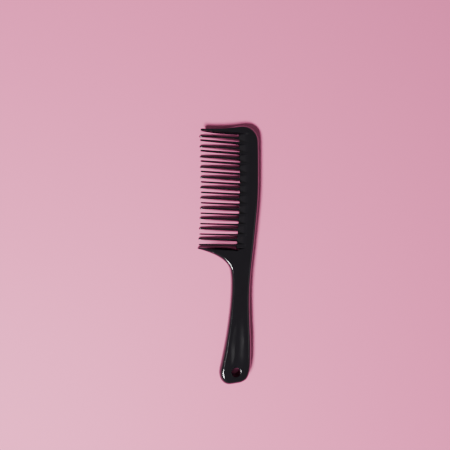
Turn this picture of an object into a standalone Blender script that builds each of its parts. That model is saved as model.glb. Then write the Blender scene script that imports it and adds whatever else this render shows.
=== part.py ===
"""Wide tooth comb with a handle: one injection moulding, split into named nodes.

The comb lies flat on its back face. X runs across it (teeth toward -X), Y runs along it (handle toward -Y)
and Z is its thickness. The origin is the centre of the footprint, on the surface that it lies on.
Sizes are in millimetres here, and MM turns them into Blender's metres.
"""

import math

import bmesh
import bpy
from mathutils import Matrix, Vector
from mathutils.geometry import interpolate_bezier

MM = 0.001

# Driving dimensions
THICKNESS = 12.4
MID = THICKNESS / 2
EDGE_ROUND = 3.0
SEAM = 0.3
NECK_Y = -16.0

# Tooth field
TOOTH_COUNT = 11
TIP_PITCH = 8.73
FIRST_REAR_Y = 100.75
FRONT_OFFSET = -4.45
TIP_GAUGE_X = -20.6
TIP_X = -23.7
TIP_BOW_Y = 52.0
TIP_BOW_REACH = 45.0
TIP_LEAD_HEAD = 0.6
TIP_LEAD_HEEL = 1.9
FRONT_TOP_SLOPE = math.radians(3.3)
REAR_TOP_SLOPE = math.radians(2.7)
BOTTOM_SLOPE = math.radians(1.0)
BLADE_DEPTH = 6.0
FACE_WIDTH = 1.4
CORE_WIDTH = 1.9
TIP_LENGTH = 8.5
TOOTH_ROUND = 0.45

# The nose is the spine's tooth side, a 45 degree taper down to a blunt edge on the mid-plane
NOSE_HALF = 0.7
NOSE_CHAMFER = MID - NOSE_HALF + 0.5
ROOT_PEAK_X = 10.1
ROOT_PEAK_Y = 67.0
ROOT_CURVE = 0.0008
FIELD_TOP = 102.4
FIELD_BOTTOM = 5.6
FIELD_FAR_X = -32.0

# Seams where the guards meet the spine
END_SEAM_X = 10.0
HEEL_SEAM_TOP = Vector((7.0, 5.1))
HEEL_SEAM_BOTTOM = Vector((1.2, -12.2))

# Each guard's tip stands in one row only: the far side of it slopes away from the tip
GUARD_RISE = 8.8
GUARD_RUN = 11.5
GUARD_EASE = 1.1

# Handle details
HOLE_CENTRE = (6.1, -98.8)
HOLE_RADIUS = 3.8
HOLE_RIM = 0.8
DISH_CENTRE = (7.8, -67.0)
DISH_HALF_WIDTH = 7.6
DISH_HALF_LENGTH = 26.0
DISH_DEPTH = 0.9
DISH_ARCH = 6.0
DISH_TURN = math.radians(-3.9)

# Spine and handle as one flat outline: back edge going down, handle end, then the left side going up.
# The left side above the neck is a plain line inside the tooth field, where the cutters shape the nose.
BODY_OUTLINE = [
    (12.2, 109.6), (16.8, 108.8), (20.9, 106.3), (23.9, 102.6), (25.4, 98.4), (25.8, 91.0), (26.0, 74.0),
    (25.8, 55.0), (24.8, 38.0), (22.3, 12.6), (20.4, -4.4), (18.7, -21.4), (18.0, -38.4), (18.4, -55.4),
    (19.3, -74.0), (19.4, -89.0), (18.5, -98.2), (16.0, -104.8), (11.6, -107.9), (6.2, -109.0),
    (0.3, -109.55), (-3.5, -108.3), (-6.4, -105.2), (-7.7, -101.2), (-7.6, -97.0), (-6.0, -89.4),
    (-2.6, -72.4), (0.0, -55.4), (1.8, -38.4), (2.4, -24.0), (1.6, -13.4), (-1.4, -7.6),
    (-3.0, 0.0), (-3.0, 50.0), (-3.0, 100.0), (-1.0, 107.6), (5.1, 108.7),
]

# Moulded black plastic; the flat faces are a little smoother than the ribbed tooth field
FINISHES = {
    "spine_plastic": ((0.0115, 0.0112, 0.0122, 1.0), 0.34),
    "handle_plastic": ((0.0118, 0.0114, 0.0126, 1.0), 0.32),
    "end_guard_plastic": ((0.0110, 0.0106, 0.0116, 1.0), 0.36),
    "heel_guard_plastic": ((0.0112, 0.0108, 0.0118, 1.0), 0.36),
    "front_tooth_plastic": ((0.0105, 0.0100, 0.0112, 1.0), 0.38),
    "rear_tooth_plastic": ((0.0100, 0.0096, 0.0108, 1.0), 0.40),
}


def clear_scene():
    """Remove whatever the file holds, so that only the comb is left."""
    for obj in list(bpy.data.objects):
        bpy.data.objects.remove(obj, do_unlink=True)


def new_collection(name):
    """Make a collection and link it to the scene."""
    collection = bpy.data.collections.new(name)
    bpy.context.scene.collection.children.link(collection)
    return collection


def new_material(name):
    """Make one plastic from FINISHES."""
    colour, roughness = FINISHES[name]
    material = bpy.data.materials.new(name)
    material.use_nodes = True
    shader = material.node_tree.nodes["Principled BSDF"]
    shader.inputs["Base Color"].default_value = colour
    shader.inputs["Roughness"].default_value = roughness
    shader.inputs["Metallic"].default_value = 0.0
    return material


def mesh_object(name, mesh, collection, material=None):
    """Put a mesh in the scene as a smooth-shaded object."""
    obj = bpy.data.objects.new(name, mesh)
    collection.objects.link(obj)
    if material:
        mesh.materials.append(material)
    mesh.shade_smooth()
    mesh.set_sharp_from_angle(angle=math.radians(35))
    return obj


def hide_cutter(cutter):
    """Mark a cutter as a guide that is never part of the object."""
    cutter.hide_render = True
    cutter.display_type = "WIRE"
    return cutter


def cut(obj, *cutters):
    """Take each cutter away from an object."""
    for cutter in cutters:
        boolean = obj.modifiers.new(cutter.name, "BOOLEAN")
        boolean.operation = "DIFFERENCE"
        boolean.solver = "EXACT"
        boolean.object = cutter


def outline_mesh(name, points, extrude, bevel, resolution, handles="AUTO"):
    """Extrude a flat outline both ways from its plane and return it as a closed mesh.

    The bevel is turned inward, so the outline stays the widest section; a bevel resolution of 0 gives a
    45 degree chamfer. AUTO handles draw a smooth outline and VECTOR handles a straight-sided one.
    """
    curve = bpy.data.curves.new(name, "CURVE")
    curve.dimensions = "2D"
    curve.fill_mode = "BOTH"
    curve.resolution_u = 4 if handles == "AUTO" else 1
    curve.extrude = extrude * MM
    curve.bevel_depth = bevel * MM
    curve.bevel_resolution = resolution
    curve.offset = -bevel * MM
    spline = curve.splines.new("BEZIER")
    spline.bezier_points.add(len(points) - 1)
    spline.use_cyclic_u = True
    for bezier, (x, y) in zip(spline.bezier_points, points):
        bezier.co = (x * MM, y * MM, 0.0)
        bezier.handle_left_type = handles
        bezier.handle_right_type = handles
    holder = bpy.data.objects.new(name, curve)
    bpy.context.scene.collection.objects.link(holder)
    evaluated = holder.evaluated_get(bpy.context.evaluated_depsgraph_get())
    mesh = bpy.data.meshes.new_from_object(evaluated)
    bpy.data.objects.remove(holder, do_unlink=True)
    bpy.data.curves.remove(curve)
    mesh.name = name
    weld(mesh)
    return mesh


def weld(mesh):
    """Join a curve's loose caps to its sides and turn every face outward."""
    bm = bmesh.new()
    bm.from_mesh(mesh)
    bmesh.ops.remove_doubles(bm, verts=bm.verts, dist=0.00001)
    bmesh.ops.recalc_face_normals(bm, faces=bm.faces)
    bm.to_mesh(mesh)
    bm.free()


def box_cutter(name, low, high, collection):
    """Make a box cutter between two corners."""
    bm = bmesh.new()
    bmesh.ops.create_cube(bm, size=1.0)
    size = [(b - a) * MM for a, b in zip(low, high)]
    centre = [(a + b) / 2 * MM for a, b in zip(low, high)]
    bmesh.ops.transform(bm, matrix=Matrix.Diagonal((*size, 1.0)), verts=bm.verts)
    bmesh.ops.translate(bm, vec=centre, verts=bm.verts)
    mesh = bpy.data.meshes.new(name)
    bm.to_mesh(mesh)
    bm.free()
    return hide_cutter(mesh_object(name, mesh, collection))


def root_x(y):
    """X of the nose's blunt edge at a place along the comb; the line bows gently toward the back."""
    return ROOT_PEAK_X - ROOT_CURVE * (y - ROOT_PEAK_Y) ** 2


def field_outline(grow):
    """Outline of the tooth field: the nose line moved toward the spine, and a straight far side.

    A grown outline runs on past both ends of the field by as much, where a box trims it.
    """
    steps = 10
    low = FIELD_BOTTOM - 2 * grow
    high = FIELD_TOP + 2 * grow
    ys = [low + (high - low) * i / steps for i in range(steps + 1)]
    nose = [(root_x(y) + grow, y) for y in ys]
    return nose + [(FIELD_FAR_X, high), (FIELD_FAR_X, low)]


def field_cutters(collection):
    """Make the three cutters of the tooth field: straight through, front taper and back taper."""
    through = outline_mesh("field_through", field_outline(0.0), THICKNESS, 0.0, 0, "VECTOR")
    taper = outline_mesh("field_taper", field_outline(NOSE_CHAMFER), 0.2, NOSE_CHAMFER, 0, "VECTOR")
    span_low = (FIELD_FAR_X - 20, FIELD_BOTTOM, -20)
    span = box_cutter("field_span", span_low, (40, FIELD_TOP, 40), collection)
    cutters = [mesh_object("field_through", through, collection)]
    cutters[0].location.z = MID * MM
    for name, side in (("field_front", 1), ("field_back", -1)):
        cutter = mesh_object(name, taper, collection)
        cutter.location.z = (MID + side * (NOSE_HALF + NOSE_CHAMFER + 0.2)) * MM
        trim = cutter.modifiers.new("trim", "BOOLEAN")
        trim.operation = "INTERSECT"
        trim.solver = "EXACT"
        trim.object = span
        cutters.append(cutter)
    return [hide_cutter(cutter) for cutter in cutters]


def seam_cutters(collection):
    """Make the two cutters that trim the spine where the guards meet it."""
    deep = THICKNESS + 2
    end = box_cutter("end_seam", (-10, FIELD_TOP - 0.5, -2), (END_SEAM_X + SEAM / 2, 115, deep), collection)
    run = HEEL_SEAM_TOP - HEEL_SEAM_BOTTOM
    heel = box_cutter("heel_seam", (-12, -3, -2), (SEAM / 2, run.length + 0.7, deep), collection)
    heel.location = (HEEL_SEAM_BOTTOM.x * MM, HEEL_SEAM_BOTTOM.y * MM, 0.0)
    heel.rotation_euler.z = -math.atan2(run.x, run.y)
    return [end, heel]


def build_spine(collection, cutters):
    """Build the back of the comb, from the head's rounded corner down to the neck."""
    slab = outline_mesh("spine", BODY_OUTLINE, MID - EDGE_ROUND, EDGE_ROUND, 3)
    spine = mesh_object("spine", slab, collection, new_material("spine_plastic"))
    spine.location.z = MID * MM
    below = box_cutter("below_neck", (-20, -120, -2), (40, NECK_Y + SEAM / 2, THICKNESS + 2), cutters)
    cut(spine, below, *field_cutters(cutters), *seam_cutters(cutters))
    return spine


def hole_cutter(collection):
    """Turn the hang hole: a straight bore whose rims are rounded over at both faces."""
    over = 1.0
    steps = 4
    arc = [math.radians(90 * i / steps) for i in range(steps + 1)]
    rim = [(HOLE_RADIUS + HOLE_RIM * (1 - math.sin(a)), HOLE_RIM * (1 - math.cos(a))) for a in arc]
    top = [(0.0, THICKNESS + over), (HOLE_RADIUS + HOLE_RIM, THICKNESS + over)]
    upper = [(r, THICKNESS - depth) for r, depth in rim]
    lower = [(r, depth) for r, depth in reversed(rim)]
    bottom = [(HOLE_RADIUS + HOLE_RIM, -over), (0.0, -over)]
    profile = [(r * MM, 0.0, z * MM) for r, z in top + upper + lower + bottom]
    mesh = bpy.data.meshes.new("hang_hole")
    mesh.from_pydata(profile, [(i, i + 1) for i in range(len(profile) - 1)], [])
    cutter = bpy.data.objects.new("hang_hole", mesh)
    collection.objects.link(cutter)
    cutter.location = (HOLE_CENTRE[0] * MM, HOLE_CENTRE[1] * MM, 0.0)
    screw = cutter.modifiers.new("turn", "SCREW")
    screw.steps = 32
    screw.render_steps = 32
    screw.use_merge_vertices = True
    screw.merge_threshold = 0.00001
    return hide_cutter(cutter)


def dish_cutter(collection):
    """Make the long shallow thumb recess as the bottom of a large ellipsoid."""
    share = math.sqrt(1 - ((DISH_ARCH - DISH_DEPTH) / DISH_ARCH) ** 2)
    size = Vector((DISH_HALF_WIDTH / share, DISH_HALF_LENGTH / share, DISH_ARCH)) * MM
    bm = bmesh.new()
    bmesh.ops.create_uvsphere(bm, u_segments=48, v_segments=36, radius=1.0)
    bmesh.ops.transform(bm, matrix=Matrix.Diagonal((*size, 1.0)), verts=bm.verts)
    mesh = bpy.data.meshes.new("thumb_dish")
    bm.to_mesh(mesh)
    bm.free()
    cutter = mesh_object("thumb_dish", mesh, collection)
    cutter.location = Vector((*DISH_CENTRE, THICKNESS + DISH_ARCH - DISH_DEPTH)) * MM
    cutter.rotation_euler.z = DISH_TURN
    return hide_cutter(cutter)


def build_handle(collection, cutters):
    """Build the neck and handle, with its thumb recess and its hang hole."""
    slab = outline_mesh("handle", BODY_OUTLINE, MID - EDGE_ROUND, EDGE_ROUND, 3)
    handle = mesh_object("handle", slab, collection, new_material("handle_plastic"))
    handle.location.z = MID * MM
    above = box_cutter("above_neck", (-40, NECK_Y - SEAM / 2, -2), (40, 130, THICKNESS + 2), cutters)
    cut(handle, above, dish_cutter(cutters), hole_cutter(cutters))
    return handle


def rounded_ring(corners, radius, steps=3):
    """Round the corners of a four-sided section, each with a short quadratic curve."""
    ring = []
    for i, corner in enumerate(corners):
        before = (corners[i - 1] - corner).normalized() * radius
        after = (corners[(i + 1) % len(corners)] - corner).normalized() * radius
        for step in range(steps):
            t = step / (steps - 1)
            ring.append(corner + before * (1 - t) ** 2 + after * t ** 2)
    return ring


def loft(name, rings, collection, material):
    """Skin equal rings in order, from tip to root, and close both ends."""
    bm = bmesh.new()
    loops = [[bm.verts.new(point * MM) for point in ring] for ring in rings]
    for first, second in zip(loops, loops[1:]):
        for i in range(len(first)):
            j = (i + 1) % len(first)
            bm.faces.new((first[i], first[j], second[j], second[i]))
    bm.faces.new(loops[0])
    bm.faces.new(loops[-1])
    bmesh.ops.recalc_face_normals(bm, faces=bm.faces)
    mesh = bpy.data.meshes.new(name)
    bm.to_mesh(mesh)
    bm.free()
    return mesh_object(name, mesh, collection, material)


def tip_x(y):
    """X of the tooth tips: the line bows in by under a millimetre at the head, more at the heel."""
    lead = TIP_LEAD_HEAD if y > TIP_BOW_Y else TIP_LEAD_HEEL
    return TIP_X - lead * ((y - TIP_BOW_Y) / TIP_BOW_REACH) ** 2


def tooth_section(x, y, side, depth, face, core, rake):
    """Four corners of a tooth's section: narrow at the outer face, wide toward the mid-plane.

    The side is +1 for the front row and -1 for the rear row. With a rake of 1 the section leans as the
    nose does, so that the tooth's root end lies flat along it.
    """
    outer = MID * side
    inner = (MID - depth) * side
    corners = []
    for z, half in ((outer, -face / 2), (outer, face / 2), (inner, core / 2), (inner, -core / 2)):
        lean = rake * (abs(z) - MID)
        corners.append(Vector((x + lean, y + half, MID + z)))
    return corners


def tooth_rings(index, side):
    """Sections of one tooth, from its rounded tip to the root end along the nose."""
    gauge_y = FIRST_REAR_Y - TIP_PITCH * index + (FRONT_OFFSET if side > 0 else 0.0)
    share = index / (TOOTH_COUNT - 1)
    top_slope = FRONT_TOP_SLOPE if side > 0 else REAR_TOP_SLOPE
    slope = math.tan(top_slope + (BOTTOM_SLOPE - top_slope) * share)
    tip = tip_x(gauge_y)

    def middle(x):
        return gauge_y - slope * (x - TIP_GAUGE_X)

    face_root = root_x(middle(ROOT_PEAK_X)) + MID - NOSE_HALF - SEAM * math.sqrt(2)
    stations = [
        (tip, 2.0, 0.8, 1.0, 0.0, 0.28),
        (tip + 0.7, 3.2, 1.3, 1.4, 0.0, 0.42),
        (tip + TIP_LENGTH * 0.5, 4.2, 1.38, 1.55, 0.0, TOOTH_ROUND),
        (tip + TIP_LENGTH, 4.8, FACE_WIDTH, 1.65, 0.0, TOOTH_ROUND),
        (tip + TIP_LENGTH * 2, 5.6, FACE_WIDTH, 1.75, 0.0, TOOTH_ROUND),
        (face_root, BLADE_DEPTH, FACE_WIDTH, CORE_WIDTH, 1.0, TOOTH_ROUND),
    ]
    rings = []
    for x, depth, face, core, rake, radius in stations:
        rings.append(rounded_ring(tooth_section(x, middle(x), side, depth, face, core, rake), radius))
    return rings


def build_teeth(collection):
    """Build both rows of regular teeth."""
    for row, side in (("front", 1), ("rear", -1)):
        material = new_material(f"{row}_tooth_plastic")
        for index in range(TOOTH_COUNT):
            loft(f"{row}_tooth_{index + 1:02d}", tooth_rings(index, side), collection, material)


def guard_loss(reach):
    """How much of a guard's depth the slope takes, by distance from the tip."""
    return GUARD_RISE * max(0.0, 1 - reach / GUARD_RUN) ** GUARD_EASE


def guard_ring(low, high, floor, ceiling, radius):
    """Section of a guard between its two edges and its two heights."""
    corners = [
        Vector((*low, floor)),
        Vector((*high, floor)),
        Vector((*high, ceiling)),
        Vector((*low, ceiling)),
    ]
    return rounded_ring(corners, radius, steps=4)


def build_end_guard(collection):
    """Build the guard tooth at the head: its tip is in the front row and its root is as deep as the spine."""
    root = END_SEAM_X - SEAM / 2
    tip = -24.0
    rings = [guard_ring((tip, 104.5), (tip, 105.8), guard_loss(0.0), THICKNESS - 0.7, 0.45)]
    stations = [
        (-23.3, 104.1, 106.2, 0.8),
        (-21.2, 103.8, 106.5, 1.0),
        (-18.0, 103.6, 106.6, 1.2),
        (-14.5, 103.4, 106.8, 1.4),
        (-12.3, 103.2, 106.9, 1.5),
        (-3.0, 102.7, 107.6, 2.0),
        (4.0, 102.4, 108.5, 2.6),
        (root, 102.3, 109.3, EDGE_ROUND),
    ]
    for x, low, high, radius in stations:
        rings.append(guard_ring((x, low), (x, high), guard_loss(x - tip), THICKNESS, radius))
    loft("end_guard", rings, collection, new_material("end_guard_plastic"))


def build_heel_guard(collection):
    """Build the heel: a web from the neck out to the last guard tooth, whose tip is in the rear row."""
    count = 14
    tip = -26.0
    seam = Vector((-SEAM / 2, 0.0))
    low_end = HEEL_SEAM_BOTTOM + seam
    high_end = HEEL_SEAM_TOP + seam
    knots = [Vector((-25.4, 4.7)), Vector((-13.8, 2.6)), Vector((0.5, -5.2)), low_end]
    lower = interpolate_bezier(*[knot.to_3d() for knot in knots], count)
    rings = [guard_ring((tip, 5.2), (tip, 6.2), 0.7, THICKNESS - guard_loss(0.0), 0.4)]
    for i, point in enumerate(lower):
        share = i / (count - 1)
        high = Vector((-25.4, 6.6)).lerp(high_end, share ** 1.15)
        reach = (high - point.to_2d()).length
        ceiling = THICKNESS - guard_loss(point.x - tip)
        rings.append(guard_ring(point.to_2d(), high, 0.0, ceiling, min(EDGE_ROUND, reach * 0.42)))
    loft("heel_guard", rings, collection, new_material("heel_guard_plastic"))


def main():
    """Build the whole comb."""
    clear_scene()
    comb = new_collection("wide_tooth_comb")
    cutters = new_collection("cutters")
    build_spine(comb, cutters)
    build_handle(comb, cutters)
    build_end_guard(comb)
    build_heel_guard(comb)
    build_teeth(comb)


main()
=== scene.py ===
"""Looks of a wide tooth comb: one black moulding with two staggered rows of teeth and a slim handle.

The comb lies on its back face. Its continuous back (spine, handle, end guard and heel) is made as the two
mould halves make it: a flat outline whose front and back heights are worked out from the distance to its
edges. That one surface is then parted at the CAD nodes' seams, and each part keeps the whole surface's
normals, so that the moulding reads as one. Every tooth is a piece of its own, whose root flares into the
spine. Sizes are in millimetres until a mesh is written.
"""

import logging
import math
from dataclasses import dataclass
from enum import Enum
from typing import ClassVar

import bmesh
import bpy
import numpy as np
from mathutils import Matrix, Vector
from mathutils.geometry import delaunay_2d_cdt
from mathutils.kdtree import KDTree


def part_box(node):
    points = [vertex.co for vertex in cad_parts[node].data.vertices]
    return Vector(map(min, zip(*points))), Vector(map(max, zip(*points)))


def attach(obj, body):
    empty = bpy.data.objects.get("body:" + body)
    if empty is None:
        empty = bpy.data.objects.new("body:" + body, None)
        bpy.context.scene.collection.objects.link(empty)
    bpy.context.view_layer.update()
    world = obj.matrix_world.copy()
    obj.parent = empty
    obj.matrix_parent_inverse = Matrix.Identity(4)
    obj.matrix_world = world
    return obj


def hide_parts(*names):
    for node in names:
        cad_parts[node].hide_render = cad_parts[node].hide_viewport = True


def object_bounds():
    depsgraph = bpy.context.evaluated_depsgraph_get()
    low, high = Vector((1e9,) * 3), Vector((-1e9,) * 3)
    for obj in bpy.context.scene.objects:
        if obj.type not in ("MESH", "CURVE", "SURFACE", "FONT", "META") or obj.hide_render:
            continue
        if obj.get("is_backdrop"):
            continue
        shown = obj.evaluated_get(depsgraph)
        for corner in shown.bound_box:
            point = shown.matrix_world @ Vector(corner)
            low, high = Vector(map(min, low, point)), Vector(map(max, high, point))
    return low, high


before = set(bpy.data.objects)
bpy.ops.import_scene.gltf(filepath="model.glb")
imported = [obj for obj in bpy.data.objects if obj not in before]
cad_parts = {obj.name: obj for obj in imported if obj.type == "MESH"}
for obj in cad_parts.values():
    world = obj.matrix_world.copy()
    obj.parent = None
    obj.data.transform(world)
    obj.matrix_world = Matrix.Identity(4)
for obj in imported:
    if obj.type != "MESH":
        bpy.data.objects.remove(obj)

log = logging.getLogger("comb")

MM = 0.001
# Points drawn on each span of a smooth line before they are spaced evenly
SPAN_STEPS = 24
# Distance between the points that heights are measured from
FINE_SPACING = 0.06

Outline = list[tuple[float, float]]
Socket = bpy.types.NodeSocket


class Row(Enum):
    """The two rows of teeth, by the face that each one reaches."""

    FRONT = 1
    REAR = -1


class Polish(Enum):
    """How the mould steel was finished: honed along the comb, or drawn along the teeth."""

    HONED = "honed"
    DRAWN = "drawn"


def srgb(code: str) -> tuple[float, float, float, float]:
    """Turn an sRGB hex value into a linear colour.

    Args:
        code: Six hex digits, with or without a leading hash.

    Returns:
        Linear red, green and blue, and an alpha of 1.
    """
    digits = code.lstrip("#")
    channels = [int(digits[i : i + 2], 16) / 255 for i in (0, 2, 4)]
    linear = [c / 12.92 if c <= 0.04045 else ((c + 0.055) / 1.055) ** 2.4 for c in channels]
    return (*linear, 1.0)


def shade(colour: tuple[float, ...], share: float) -> list[float]:
    """Make a linear colour darker or lighter, with its alpha kept at 1."""
    return [channel * share for channel in colour[:3]] + [1.0]


def add_node(
    tree: bpy.types.NodeTree, kind: str, settings: dict | None = None, **inputs: Socket | float | tuple
) -> bpy.types.Node:
    """Add one node to a tree, with its settings, its values and its links.

    Args:
        tree: The node tree to add to.
        kind: The node's type name.
        settings: Attributes to set on the node itself.
        **inputs: Socket values by name, with _ for a space; an output socket makes a link instead.

    Returns:
        The new node.
    """
    node = tree.nodes.new(kind)
    for name, value in (settings or {}).items():
        setattr(node, name, value)
    for name, value in inputs.items():
        key = int(name[1:]) if name[0] == "i" and name[1:].isdigit() else name.replace("_", " ")
        if isinstance(value, Socket):
            tree.links.new(value, node.inputs[key])
        else:
            node.inputs[key].default_value = value
    return node


@dataclass(frozen=True)
class MouldedPolystyrene:
    """Black polystyrene, injection moulded in polished steel.

    Carbon black pigment leaves no colour of its own, so what the eye gets is the gloss: clear edges of
    light that soften over a very fine grain, with the slow ripple that cooling plastic takes on.

    Attributes:
        polish: How the mould was finished there.
        black: Body colour, as sRGB hex.
        rubbed: Colour of an edge that handling has dulled, as sRGB hex.
        gloss: Roughness of the untouched surface.
        refraction: Refractive index of polystyrene, a little above that of most plastics.
        cloud_mm: Size of the pigment's faint clouds.
        clouding: How dark and how light they are, as shares of the body colour.
        haze_mm: Size of the patches that handling leaves.
        haze_gloss: Roughness that a clean and a hazy patch add.
        line_gloss: Roughness that the fine marks add.
        rub_gloss: Roughness that full rubbing adds.
        ripple_mm: Length and depth of the slow ripple from cooling.
        grain_mm: Size and depth of the fine grain that the mould leaves.
        line_mm: Spacing, length and depth of the drawn or hairline marks.
        part_line_mm: Half width of the mould's parting line, the reach of its edge, and its height.
    """

    polish: Polish
    black: str = "110f13"
    rubbed: str = "1d1b20"
    gloss: float = 0.095
    refraction: float = 1.59
    cloud_mm: float = 9.0
    clouding: tuple[float, float] = (0.86, 1.16)
    haze_mm: float = 22.0
    haze_gloss: tuple[float, float] = (-0.02, 0.03)
    line_gloss: float = 0.05
    rub_gloss: float = 0.10
    ripple_mm: tuple[float, float] = (14.0, 0.06)
    # Real grain is about 0.1 mm and real marks about 0.05 mm apart: both are drawn coarser, to show
    grain_mm: tuple[float, float] = (0.5, 0.005)
    line_mm: tuple[float, float, float] = (0.35, 11.0, 0.003)
    part_line_mm: tuple[float, float, float] = (0.05, 0.22, 0.05)

    def build(self, name: str, part_line_m: float) -> bpy.types.Material:
        """Make the material.

        Args:
            name: The material's name.
            part_line_m: Height of the mould's parting line, in metres.

        Returns:
            The new material.
        """
        material = bpy.data.materials.new(name)
        material.use_nodes = True
        tree = material.node_tree
        shader = tree.nodes["Principled BSDF"]
        place = add_node(tree, "ShaderNodeTexCoord").outputs["Object"]
        marks = self.hairlines(tree, place)
        rub = add_node(tree, "ShaderNodeAttribute", {"attribute_name": "rub"}).outputs["Fac"]
        self.colour(tree, shader, place, rub)
        self.roughness(tree, shader, place, marks, rub)
        self.relief(tree, shader, place, marks, part_line_m)
        shader.inputs["IOR"].default_value = self.refraction
        shader.inputs["Metallic"].default_value = 0.0
        return material

    def colour(self, tree: bpy.types.NodeTree, shader: bpy.types.Node, place: Socket, rub: Socket) -> None:
        """Mix the pigment's faint clouding with the dulled edges.

        Args:
            tree: The material's node tree.
            shader: The Principled shader.
            place: Object coordinates.
            rub: How rubbed the surface is, 0 to 1.
        """
        cloud = add_node(
            tree, "ShaderNodeTexNoise", Vector=place, Scale=1 / (self.cloud_mm * MM), Detail=3.0,
            Roughness=0.6,
        ).outputs["Fac"]
        pigment = add_node(tree, "ShaderNodeMix", {"data_type": "RGBA"}, Factor=cloud)
        for socket, share in zip(pigment.inputs[6:8], self.clouding):
            socket.default_value = shade(srgb(self.black), share)
        worn = add_node(tree, "ShaderNodeMix", {"data_type": "RGBA"}, Factor=rub)
        tree.links.new(pigment.outputs[2], worn.inputs[6])
        worn.inputs[7].default_value = srgb(self.rubbed)
        tree.links.new(worn.outputs[2], shader.inputs["Base Color"])

    def hairlines(self, tree: bpy.types.NodeTree, place: Socket) -> Socket:
        """Draw fine marks that run along the comb, or along the teeth where the steel was drawn.

        Args:
            tree: The material's node tree.
            place: Object coordinates.

        Returns:
            The marks' strength, 0 to 1.
        """
        spacing, length, _ = self.line_mm
        across, along = 1 / (spacing * MM), 1 / (length * MM)
        scale = (across, along, across) if self.polish is Polish.HONED else (along, across, across)
        stretched = add_node(tree, "ShaderNodeMapping", Vector=place, Scale=scale).outputs[0]
        noise = add_node(
            tree, "ShaderNodeTexNoise", Vector=stretched, Scale=1.0, Detail=2.0, Roughness=0.55
        ).outputs["Fac"]
        kept = (0.60, 0.74) if self.polish is Polish.HONED else (0.50, 0.72)
        # Only the noise's peaks are kept as marks: few where the steel was honed, more where drawn
        marks = add_node(tree, "ShaderNodeMapRange", Value=noise, From_Min=kept[0], From_Max=kept[1])
        return marks.outputs[0]

    def roughness(
        self, tree: bpy.types.NodeTree, shader: bpy.types.Node, place: Socket, marks: Socket, rub: Socket
    ) -> None:
        """Vary the gloss: handling haze in broad patches, duller hairlines and rubbed edges.

        Args:
            tree: The material's node tree.
            shader: The Principled shader.
            place: Object coordinates.
            marks: Strength of the hairlines.
            rub: How rubbed the surface is.
        """
        haze = add_node(
            tree, "ShaderNodeTexNoise", Vector=place, Scale=1 / (self.haze_mm * MM), Detail=4.0,
            Roughness=0.65,
        ).outputs["Fac"]
        low, high = (self.gloss + change for change in self.haze_gloss)
        level = add_node(
            tree, "ShaderNodeMapRange", Value=haze, From_Min=0.35, From_Max=0.7, To_Min=low, To_Max=high
        ).outputs[0]
        for share, amount in ((marks, self.line_gloss), (rub, self.rub_gloss)):
            level = add_node(
                tree, "ShaderNodeMath", {"operation": "MULTIPLY_ADD"}, i0=share, i1=amount, i2=level
            ).outputs[0]
        tree.links.new(level, shader.inputs["Roughness"])

    def relief(
        self,
        tree: bpy.types.NodeTree,
        shader: bpy.types.Node,
        place: Socket,
        marks: Socket,
        part_line_m: float,
    ) -> None:
        """Layer the ripple, the grain, the hairlines and the parting line as bumps.

        Args:
            tree: The material's node tree.
            shader: The Principled shader.
            place: Object coordinates.
            marks: Strength of the hairlines.
            part_line_m: Height of the parting line, in metres.
        """
        ripple, grain = (
            add_node(tree, "ShaderNodeTexNoise", Vector=place, Scale=1 / (size * MM), Detail=detail)
            for size, detail in ((self.ripple_mm[0], 1.0), (self.grain_mm[0], 3.0))
        )
        height = add_node(tree, "ShaderNodeSeparateXYZ", Vector=place).outputs["Z"]
        off = add_node(tree, "ShaderNodeMath", {"operation": "SUBTRACT"}, i0=height, i1=part_line_m)
        gap = add_node(tree, "ShaderNodeMath", {"operation": "ABSOLUTE"}, i0=off.outputs[0])
        # The parting line is a fine raised witness where the two mould halves met
        flat, reach, raised = self.part_line_mm
        seam = add_node(
            tree, "ShaderNodeMapRange", Value=gap.outputs[0], From_Min=flat * MM, From_Max=reach * MM,
            To_Min=1.0, To_Max=0.0,
        )
        normal = None
        layers = (
            (ripple.outputs["Fac"], self.ripple_mm[1], 1.0, False),
            (grain.outputs["Fac"], self.grain_mm[1], 0.4, False),
            (marks, self.line_mm[2], 0.4, True),
            (seam.outputs[0], raised, 0.8, False),
        )
        for socket, depth, strength, cut in layers:
            bump = add_node(
                tree, "ShaderNodeBump", {"invert": cut}, Height=socket, Distance=depth * MM,
                Strength=strength,
            )
            if normal:
                tree.links.new(normal, bump.inputs["Normal"])
            normal = bump.outputs["Normal"]
        tree.links.new(normal, shader.inputs["Normal"])


@dataclass(frozen=True)
class CoatedCard:
    """Pink card with a dull coating: an even tone, pale under the lamps, with a very faint tooth.

    Attributes:
        tint: The card's colour, as sRGB hex.
        dullness: Roughness of the coating.
        tooth_mm: Size and depth of the paper's tooth.
    """

    tint: str = "f474a9"
    dullness: float = 0.62
    # Real paper has a tooth of about 0.2 mm: it is drawn coarser, to show
    tooth_mm: tuple[float, float] = (0.9, 0.02)

    def build(self) -> bpy.types.Material:
        """Make the material.

        Returns:
            The new material.
        """
        material = bpy.data.materials.new("coated_pink_card")
        material.use_nodes = True
        tree = material.node_tree
        shader = tree.nodes["Principled BSDF"]
        place = add_node(tree, "ShaderNodeTexCoord").outputs["Object"]
        size, depth = self.tooth_mm
        tooth = add_node(tree, "ShaderNodeTexNoise", Vector=place, Scale=1 / (size * MM), Detail=4.0)
        bump = add_node(
            tree, "ShaderNodeBump", Height=tooth.outputs["Fac"], Distance=depth * MM, Strength=0.4
        )
        tree.links.new(bump.outputs["Normal"], shader.inputs["Normal"])
        shader.inputs["Base Color"].default_value = srgb(self.tint)
        shader.inputs["Roughness"].default_value = self.dullness
        return material


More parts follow.
